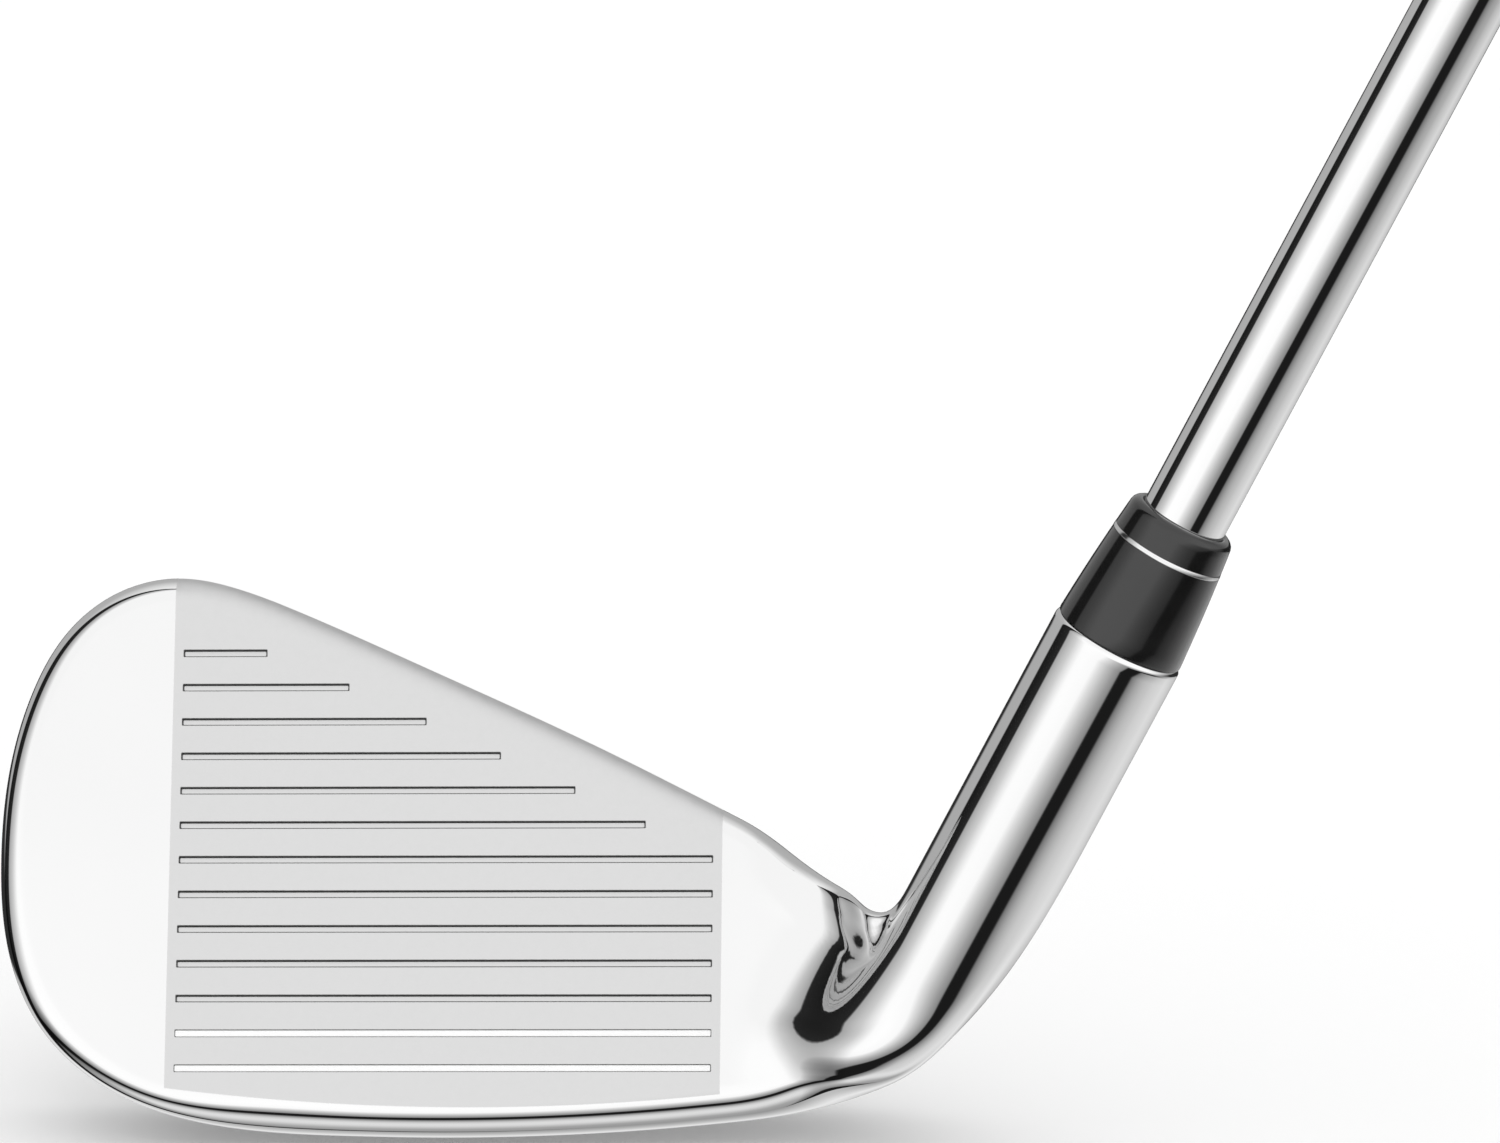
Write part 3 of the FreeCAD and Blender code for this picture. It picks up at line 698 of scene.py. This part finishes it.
def ferrule_profile():
    top = HOSEL_TOP + FERRULE_LENGTH
    out = [(HOSEL_TOP, TIP_R), (HOSEL_TOP, 6.86), (HOSEL_TOP + 0.06, 6.95)]
    for along in (62.3, 63.5, 65.0, 66.5, 68.0, 69.5, 71.0, 72.2):
        out.append((along, ferrule_outline(along)))
    r0, r1 = ferrule_outline(GROOVE[0]), ferrule_outline(GROOVE[1])
    out += [(GROOVE[0], r0), (RING[0], r0 - RING_DEPTH), (RING[1], r1 - RING_DEPTH), (GROOVE[1], r1)]
    for along in (73.4, 74.2, 75.0):
        out.append((along, ferrule_outline(along)))
    r = ferrule_outline(75.5)
    out += [(75.6, r - 0.02), (75.9, r - 0.12), (76.15, r - 0.32), (76.32, r - 0.58)]
    out += [(top, r - 0.85), (top, r - 1.0)]
    out += [(76.3, TIP_R + 0.12), (76.1, TIP_R)]
    return out


def ring_profile():
    (start, end), foot = RING, RING_DEPTH - 0.02
    r0, r1 = ferrule_outline(start), ferrule_outline(end)
    lower = [(start, r0 - foot), (start, r0 - 0.01), (start + 0.05, r0 + 0.02)]
    return lower + [(end - 0.05, r1 + 0.02), (end, r1 - 0.01), (end, r1 - foot)]


def band_profile():
    (start, end), foot = BAND, section_radius(STEPS - 1)
    outer = foot + BAND_THICKNESS
    lower = [(start, foot), (start, outer - 0.02), (start + 0.1, outer)]
    return lower + [(end - 0.1, outer), (end, outer - 0.02), (end, foot)]


# The sleeve's outside, as (distance from its mouth, radius)
GRIP_POINTS = [
    (0.0, 8.9), (3.0, 9.35), (30.0, 9.5), (60.0, 9.75), (105.0, 10.15), (150.0, 10.6), (185.0, 11.0),
    (212.0, 11.45), (245.0, 12.4), (259.0, 13.05), (263.8, 13.3),
]
GRIP_MAX_R = 13.25
VENT_R = 1.6
CHANNELS, CHANNEL_PITCH, CHANNEL_DEPTH, BAND_DEPTH = 10, 26.0, 0.32, 0.3


def build_grip(materials):
    """The sleeve, with shallow moulded channels crossing between plain bands at its ends."""
    radius = Spline([p[0] for p in GRIP_POINTS], [p[1] for p in GRIP_POINTS])
    grip = Build()
    around, length = 160, GRIP_LENGTH - CAP
    along = np.concatenate([[0, 0.25, 0.6, 1.1, 2.0, 3.0], np.linspace(4, length - 1, 560), [length]])
    a = np.linspace(0, 2 * math.pi, around, endpoint=False)
    ring = HEEL_SIDE * np.cos(a)[:, None] + BACK_SIDE * np.sin(a)[:, None]
    rows = [grip.add(AXIS * MOUTH + ring * (BUTT_R + TAPE))]
    for s in along:
        r = min(float(radius([s])[0, 0]), GRIP_MAX_R)
        r -= 0.25 * (1 - min(s / 0.6, 1)) ** 2
        fade = float(smooth(14, 17, s) * (1 - smooth(length - 22, length - 19, s)))
        turn = 2 * math.pi * s / CHANNEL_PITCH / CHANNELS * 3
        d1 = np.abs(np.mod((a + turn) * CHANNELS / (2 * math.pi), 1.0) - 0.5)
        d2 = np.abs(np.mod((a - turn) * CHANNELS / (2 * math.pi), 1.0) - 0.5)
        groove = np.maximum(1 - smooth(0.04, 0.13, d1), 1 - smooth(0.04, 0.13, d2))
        bands = 0.0
        for at in (9.0, 11.5, length - 14.0, length - 11.5):
            bands = max(bands, 1 - float(smooth(0.25, 0.7, abs(s - at))))
        rr = r - CHANNEL_DEPTH * fade * groove - BAND_DEPTH * bands
        rows.append(grip.add(AXIS * (MOUTH + s) + ring * np.broadcast_to(rr, (around,))[:, None]))
    rows.append(grip.add(AXIS * BUTT + ring * (BUTT_R + TAPE)))
    grip.rings(rows)
    grip.strip(rows[-1], rows[0], closed=True)
    return grip.done("grip_visual", materials, 50.0)


def cap_profile():
    """The end cap: its rounded rim from the butt, then its flat end with a shallow ring and the vent."""
    rim = [
        (0.0, VENT_R), (0.0, 13.05), (0.12, 13.19), (0.5, 13.22), (1.0, 13.12), (1.5, 12.92), (2.0, 12.54),
        (2.45, 12.05), (2.8, 11.3), (3.05, 10.3),
    ]
    flat = [
        (0.02, 9.0), (0.0, 8.2), (0.05, 7.9), (0.35, 7.6), (0.35, 7.0), (0.05, 6.7), (0.0, 6.4), (0.0, 2.2),
        (0.15, 1.75), (0.5, VENT_R),
    ]
    return [(BUTT + on, r) for on, r in rim] + [(CLUB_LENGTH - back, r) for back, r in flat]


# ---------------------------------------------------------------- materials
class Nodes:
    """A material with short calls for its nodes."""

    def __init__(self, name, **sockets):
        self.mat = bpy.data.materials.new(name)
        self.mat.use_nodes = True
        self.tree = self.mat.node_tree
        self.shader = self.tree.nodes["Principled BSDF"]
        for key, value in sockets.items():
            self.shader.inputs[key.replace("_", " ")].default_value = value
        self.coord = self.tree.nodes.new("ShaderNodeTexCoord").outputs["Object"]

    def link(self, a, b):
        self.tree.links.new(a, b)

    def math(self, op, a, b=None, c=None, clamp=False):
        n = self.tree.nodes.new("ShaderNodeMath")
        n.operation = op
        n.use_clamp = clamp
        for i, x in enumerate((a, b, c)):
            if x is None:
                continue
            if isinstance(x, (int, float)):
                n.inputs[i].default_value = x
            else:
                self.link(x, n.inputs[i])
        return n.outputs[0]

    def noise(self, scale, detail=3.0, stretch=(1, 1, 1), vector=None):
        m = self.tree.nodes.new("ShaderNodeMapping")
        m.inputs["Scale"].default_value = stretch
        self.link(vector or self.coord, m.inputs["Vector"])
        n = self.tree.nodes.new("ShaderNodeTexNoise")
        n.inputs["Scale"].default_value = scale
        n.inputs["Detail"].default_value = detail
        self.link(m.outputs[0], n.inputs["Vector"])
        return n.outputs["Fac"]

    def range(self, value, a, b, lo, hi, smooth_step=False):
        n = self.tree.nodes.new("ShaderNodeMapRange")
        n.interpolation_type = "SMOOTHSTEP" if smooth_step else "LINEAR"
        for i, x in enumerate((value, a, b, lo, hi)):
            if isinstance(x, (int, float)):
                n.inputs[i].default_value = x
            else:
                self.link(x, n.inputs[i])
        return n.outputs[0]

    def mix(self, factor, a, b):
        n = self.tree.nodes.new("ShaderNodeMix")
        n.data_type = "RGBA"
        self.link(factor, n.inputs[0])
        for i, x in ((6, a), (7, b)):
            if isinstance(x, tuple):
                n.inputs[i].default_value = x
            else:
                self.link(x, n.inputs[i])
        return n.outputs[2]

    def bump(self, height, strength, distance):
        n = self.tree.nodes.new("ShaderNodeBump")
        n.inputs["Strength"].default_value = strength
        n.inputs["Distance"].default_value = distance
        self.link(height, n.inputs["Height"])
        self.link(n.outputs[0], self.shader.inputs["Normal"])


def grey(v, tint=0.0):
    return (v, v, v * (1 + tint), 1.0)


def face_axes(m):
    """x, distance up the face and out of the face, in millimetres, as node sockets."""
    xyz = m.tree.nodes.new("ShaderNodeSeparateXYZ")
    m.link(m.coord, xyz.inputs[0])
    x = m.math("MULTIPLY", xyz.outputs[0], 1000.0)
    y = m.math("ADD", m.math("MULTIPLY", xyz.outputs[1], 1000.0), FACE_LEAD)
    z = m.math("MULTIPLY", xyz.outputs[2], 1000.0)
    up = m.math("ADD", m.math("MULTIPLY", y, SIN), m.math("MULTIPLY", z, COS))
    out = m.math("SUBTRACT", m.math("MULTIPLY", z, SIN), m.math("MULTIPLY", y, COS))
    return x, up, out


BLAST_TOE_X, BLAST_HEEL_X = -71.17, -13.0
# The blasted area's lower edge is BLAST_LOW + BLAST_TILT * d + BLAST_BOW * d * d up the face,
# where d is x less BLAST_MIDDLE_X
BLAST_MIDDLE_X, BLAST_LOW, BLAST_TILT, BLAST_BOW = -43.0, 5.77, -0.01505, 0.002024


def chrome(name, blasted=False, rough=0.035, base=0.86, painted_groove_shade=False):
    """Polished chrome, with the hitting area blasted matt and, where asked, painted shade: the score lines'
    walls coloured dark.
    """
    m = Nodes(name, Metallic=1.0)
    fine = m.noise(900.0, 2.0)
    broad = m.noise(45.0, 3.0)
    polished_r = m.range(broad, 0.3, 0.7, rough * 0.8, rough * 1.2)
    polished_c = m.mix(m.range(broad, 0.35, 0.65, 0.0, 1.0), grey(base), grey(base + 0.012))
    if not blasted:
        m.link(polished_r, m.shader.inputs["Roughness"])
        m.link(polished_c, m.shader.inputs["Base Color"])
        return m.mat
    x, up, out = face_axes(m)
    dx = m.math("ADD", x, -BLAST_MIDDLE_X)
    bow = m.math("MULTIPLY", m.math("MULTIPLY", dx, dx), BLAST_BOW)
    arc = m.math("ADD", bow, m.math("MULTIPLY_ADD", dx, BLAST_TILT, BLAST_LOW))
    parts = [
        m.range(x, BLAST_TOE_X - 0.04, BLAST_TOE_X + 0.04, 0.0, 1.0),
        m.range(x, BLAST_HEEL_X - 0.04, BLAST_HEEL_X + 0.04, 1.0, 0.0),
        m.range(m.math("SUBTRACT", up, arc), -0.05, 0.05, 0.0, 1.0),
        m.range(out, -5.4, -5.1, 0.0, 1.0),
    ]
    mask = parts[0]
    for p in parts[1:]:
        mask = m.math("MULTIPLY", mask, p)
    blasted_r = m.range(fine, 0.3, 0.7, 0.40, 0.47)
    polished_part = m.math("MULTIPLY", polished_r, m.math("SUBTRACT", 1.0, mask))
    rough_mix = m.math("ADD", m.math("MULTIPLY", blasted_r, mask), polished_part)
    m.link(rough_mix, m.shader.inputs["Roughness"])
    blasted_c = m.mix(m.range(fine, 0.3, 0.7, 0.0, 1.0), grey(0.70), grey(0.73))
    colour = m.mix(mask, polished_c, blasted_c)
    if painted_groove_shade:
        # painted shade: the score lines' walls, between the face and the floor, are coloured dark grey in
        # place of the shade inside the grooves
        below_face, above_floor = m.range(out, -0.05, -0.02, 1.0, 0.0), m.range(out, -0.335, -0.325, 0.0, 1.0)
        groove = m.math("MULTIPLY", below_face, above_floor)
        colour = m.mix(m.math("MULTIPLY", mask, groove), colour, grey(0.16))
    m.link(colour, m.shader.inputs["Base Color"])
    m.bump(m.math("MULTIPLY", fine, mask), 0.12, 0.00003)
    return m.mat


def plain(name, dark, light, scale, rough, metallic=0.0, bump=0.0, stretch=(1, 1, 1), **sockets):
    """A finish whose colour and roughness wander a little with noise."""
    m = Nodes(name, Metallic=metallic, **sockets)
    n = m.noise(scale, 4.0, stretch)
    m.link(m.mix(m.range(n, 0.3, 0.7, 0.0, 1.0), dark, light), m.shader.inputs["Base Color"])
    m.link(m.range(n, 0.3, 0.7, rough[0], rough[1]), m.shader.inputs["Roughness"])
    if bump:
        m.bump(n, 0.6, bump)
    return m.mat


def make_materials():
    mats = {
        "chrome": chrome("head_chrome", blasted=True),
        # the face plate's chrome carries painted shade on its score lines' walls
        "face_chrome": chrome("face_chrome", blasted=True, painted_groove_shade=True),
        "shaft_chrome": chrome("shaft_chrome", rough=0.03, base=0.88),
        "white_fill": plain("white_enamel", grey(0.96), grey(0.99), 300.0, (0.25, 0.35)),
        "tungsten": plain("tungsten", grey(0.22), grey(0.32), 400.0, (0.4, 0.5), 1.0, 0.00003),
        "urethane": plain("urethane", (0.42, 0.36, 0.2, 1), (0.5, 0.43, 0.26, 1), 120.0, (0.4, 0.55)),
        "foam_tape": plain("foam_tape", grey(0.02), grey(0.06), 700.0, (0.8, 0.95), 0.0, 0.0001),
        "badge_polymer": plain("badge_polymer", grey(0.018), grey(0.03), 900.0, (0.5, 0.62), 0.0, 0.00004),
        "badge_metal": plain(
            "badge_metal", grey(0.50, 0.02), grey(0.62, 0.02), 90.0, (0.24, 0.34), 1.0, 0.0, (1, 30, 30)
        ),
        "epoxy": plain("epoxy", (0.45, 0.36, 0.16, 1), (0.55, 0.46, 0.24, 1), 150.0, (0.2, 0.35)),
        "ferrule_black": plain(
            "ferrule_black", grey(0.006), grey(0.009), 200.0, (0.10, 0.14),
            Coat_Weight=0.6, Coat_Roughness=0.04,
        ),
        "ring_silver": plain("ring_silver", grey(0.80), grey(0.86), 300.0, (0.12, 0.2), 1.0),
        "tip_brass": plain("tip_brass", (0.6, 0.42, 0.16, 1), (0.7, 0.5, 0.22, 1), 200.0, (0.2, 0.35), 1.0),
        "band_foil": plain(
            "band_foil", grey(0.10, 0.05), grey(0.14, 0.05), 40.0, (0.18, 0.26), 0.6, Coat_Weight=0.5
        ),
        "tape": plain("tape", (0.55, 0.45, 0.28, 1), (0.66, 0.55, 0.36, 1), 500.0, (0.8, 0.9), 0.0, 0.00005),
        "grip_rubber": plain("grip_rubber", grey(0.016), grey(0.026), 1500.0, (0.62, 0.78), 0.0, 0.00006),
        "cap_rubber": plain("cap_rubber", grey(0.014), grey(0.02), 1100.0, (0.5, 0.62), 0.0, 0.00003),
    }
    return mats


# ---------------------------------------------------------------- studio
def studio_world():
    """A light tent: white all round, with dark gaps between its panels that only show as reflections."""
    world = bpy.data.worlds.new("studio")
    bpy.context.scene.world = world
    world.use_nodes = True
    tree = world.node_tree
    tree.nodes.clear()
    m = Nodes.__new__(Nodes)
    m.tree = tree
    m.coord = tree.nodes.new("ShaderNodeTexCoord").outputs["Generated"]
    xyz = tree.nodes.new("ShaderNodeSeparateXYZ")
    m.link(m.coord, xyz.inputs[0])
    x, y, z = xyz.outputs
    azimuth = m.math("MULTIPLY", m.math("ARCTAN2", x, m.math("MULTIPLY", y, -1.0)), 180 / math.pi)
    elevation = m.math("MULTIPLY", m.math("ARCSINE", z), 180 / math.pi)

    def ramp(value, stops, lo, hi):
        n = tree.nodes.new("ShaderNodeValToRGB")
        elements = n.color_ramp.elements
        while len(elements) < len(stops):
            elements.new(0.5)
        for e, (at, level) in zip(elements, stops):
            e.position = (at - lo) / (hi - lo)
            e.color = (level, level, level, 1)
        m.link(m.range(value, lo, hi, 0.0, 1.0), n.inputs[0])
        return n.outputs[0]

    front = ramp(elevation, FRONT_BY_ELEVATION, -90.0, 90.0)
    back = ramp(elevation, BACK_BY_ELEVATION, -90.0, 90.0)
    share = ramp(azimuth, FRONT_SHARE_BY_AZIMUTH, -180.0, 180.0)
    side = ramp(azimuth, LEVEL_BY_AZIMUTH, -180.0, 180.0)
    back_part = m.math("MULTIPLY", back, m.math("SUBTRACT", 1.0, share))
    mixed = m.math("ADD", m.math("MULTIPLY", front, share), back_part)
    level = m.math("MULTIPLY", mixed, side)
    background = tree.nodes.new("ShaderNodeBackground")
    white = tree.nodes.new("ShaderNodeBackground")
    white.inputs[0].default_value = (1, 1, 1, 1)
    white.inputs[1].default_value = WHITE_STRENGTH
    m.link(level, background.inputs[0])
    path = tree.nodes.new("ShaderNodeLightPath")
    mixer = tree.nodes.new("ShaderNodeMixShader")
    m.link(path.outputs["Is Glossy Ray"], mixer.inputs[0])
    m.link(white.outputs[0], mixer.inputs[1])
    m.link(background.outputs[0], mixer.inputs[2])
    out = tree.nodes.new("ShaderNodeOutputWorld")
    m.link(mixer.outputs[0], out.inputs[0])


WHITE_STRENGTH = 1.06
# Linear levels of the tent as seen in the chrome, by degrees of elevation in front and behind, and by degrees
# round the club, with 0 in front and the toe's side below 0
FRONT_BY_ELEVATION = [
    (-90.0, 0.35), (-75.0, 0.42), (-58.0, 0.80), (-50.0, 0.84), (-42.0, 0.68), (-36.0, 0.40), (-32.0, 0.20),
    (-30.8, 0.012), (-22.0, 0.012), (-21.0, 0.28), (-17.5, 0.37), (-11.7, 0.58), (-6.1, 0.84), (-2.0, 1.10),
    (10.0, 1.15), (34.0, 1.13), (46.0, 1.05), (90.0, 1.05),
]
BACK_BY_ELEVATION = [
    (-90.0, 0.35), (-45.0, 0.90), (-36.0, 0.80), (-25.0, 0.60), (-20.0, 0.50), (-18.5, 0.03), (-2.0, 0.03),
    (1.5, 0.44), (10.0, 0.46), (40.0, 0.50), (90.0, 1.05),
]
LEVEL_BY_AZIMUTH = [
    (-180.0, 1.0), (-117.0, 1.0), (-115.0, 0.02), (-92.0, 0.02), (-90.0, 0.38), (-72.0, 0.60), (-53.0, 0.98),
    (-45.0, 1.0), (180.0, 1.0),
]
FRONT_SHARE_BY_AZIMUTH = [(-120.0, 0.0), (-116.0, 0.0), (-90.0, 1.0), (80.0, 1.0), (125.0, 0.0)]


CAMERA_ELEVATION, CAMERA_AZIMUTH, CAMERA_ROLL = (math.radians(a) for a in (14.290, 2.859, -0.865))
CAMERA_DISTANCE, CAMERA_SIDE, CAMERA_UP = 1086.7, -9.99, 60.09
CAMERA_LENS, CAMERA_SENSOR = 249.7, 36.0


def place_camera():
    """A long lens, a little above the head and to its heel side."""
    flat = math.cos(CAMERA_ELEVATION)
    toward = [math.sin(CAMERA_AZIMUTH) * flat, -math.cos(CAMERA_AZIMUTH) * flat, math.sin(CAMERA_ELEVATION)]
    back = np.array(toward)
    level = np.array([math.cos(CAMERA_AZIMUTH), math.sin(CAMERA_AZIMUTH), 0.0])
    upright = np.cross(back, level)
    cos_roll, sin_roll = math.cos(CAMERA_ROLL), math.sin(CAMERA_ROLL)
    right, up = cos_roll * level + sin_roll * upright, -sin_roll * level + cos_roll * upright
    place = back * CAMERA_DISTANCE + right * CAMERA_SIDE + up * CAMERA_UP
    data = bpy.data.cameras.new("camera")
    data.type = "PERSP"
    data.sensor_width = CAMERA_SENSOR
    data.lens = CAMERA_LENS
    data.clip_start, data.clip_end = 0.05, 50.0
    camera = bpy.data.objects.new("camera", data)
    bpy.context.scene.collection.objects.link(camera)
    rows = [(right[i], up[i], back[i], place[i] / 1000) for i in range(3)]
    camera.matrix_world = Matrix(rows + [(0, 0, 0, 1)])
    bpy.context.scene.camera = camera


FLOOR_HALF, FLOOR_Z = 6, -0.0002  # metres


def studio_floor():
    mesh = bpy.data.meshes.new("floor")
    corners = [(-1, -1), (1, -1), (1, 1), (-1, 1)]
    mesh.from_pydata([(FLOOR_HALF * x, FLOOR_HALF * y, FLOOR_Z) for x, y in corners], [], [(0, 1, 2, 3)])
    floor = bpy.data.objects.new("floor", mesh)
    bpy.context.scene.collection.objects.link(floor)
    m = Nodes("floor_paper", Roughness=0.9)
    n = m.noise(3.0, 2.0)
    m.link(m.mix(n, grey(0.97), grey(0.98)), m.shader.inputs["Base Color"])
    mesh.materials.append(m.mat)
    floor.visible_glossy = False
    return floor


# ---------------------------------------------------------------- assembly
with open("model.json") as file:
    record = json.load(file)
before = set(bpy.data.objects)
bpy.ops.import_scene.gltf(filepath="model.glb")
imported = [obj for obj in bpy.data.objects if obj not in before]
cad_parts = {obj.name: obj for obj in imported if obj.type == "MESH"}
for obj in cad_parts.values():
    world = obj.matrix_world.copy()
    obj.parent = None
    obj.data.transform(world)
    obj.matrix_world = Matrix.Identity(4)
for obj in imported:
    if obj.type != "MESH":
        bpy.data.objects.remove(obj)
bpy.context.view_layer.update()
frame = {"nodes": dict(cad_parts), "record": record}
mats = make_materials()
for row in frame["record"]["subparts"]:
    node, slot = row["node"], row["material_slot"]
    mesh = frame["nodes"][node].data
    mesh.materials.clear()
    mesh.materials.append(mats[slot])


def stand_in(obj, node):
    """Lets a mesh be seen in place of a node."""
    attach(obj, "root")
    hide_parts(node)


head, seam_loop = build_head([mats["chrome"]])
stand_in(head, "head_body")
stand_in(build_plate(seam_loop, [mats["face_chrome"]]), "face_plate")
stand_in(build_paint([mats["white_fill"]]), "score_line_paint")
shaft = turned_mesh("shaft_visual", shaft_profile(), [mats["shaft_chrome"]], 160)
stand_in(shaft, "shaft")
ferrule = turned_mesh("ferrule_visual", ferrule_profile(), [mats["ferrule_black"]], 128, 40.0)
stand_in(ferrule, "ferrule")
ring = turned_mesh("ferrule_ring_visual", ring_profile(), [mats["ring_silver"]], 128)
stand_in(ring, "ferrule_ring")
band = turned_mesh("shaft_band_visual", band_profile(), [mats["band_foil"]], 128)
stand_in(band, "shaft_band")
stand_in(build_grip([mats["grip_rubber"]]), "grip")
cap = turned_mesh("grip_cap_visual", cap_profile(), [mats["cap_rubber"]], 128, 50.0)
stand_in(cap, "grip_cap")

studio_world()
studio_floor()
place_camera()
bpy.context.scene.view_settings.view_transform = "Standard"
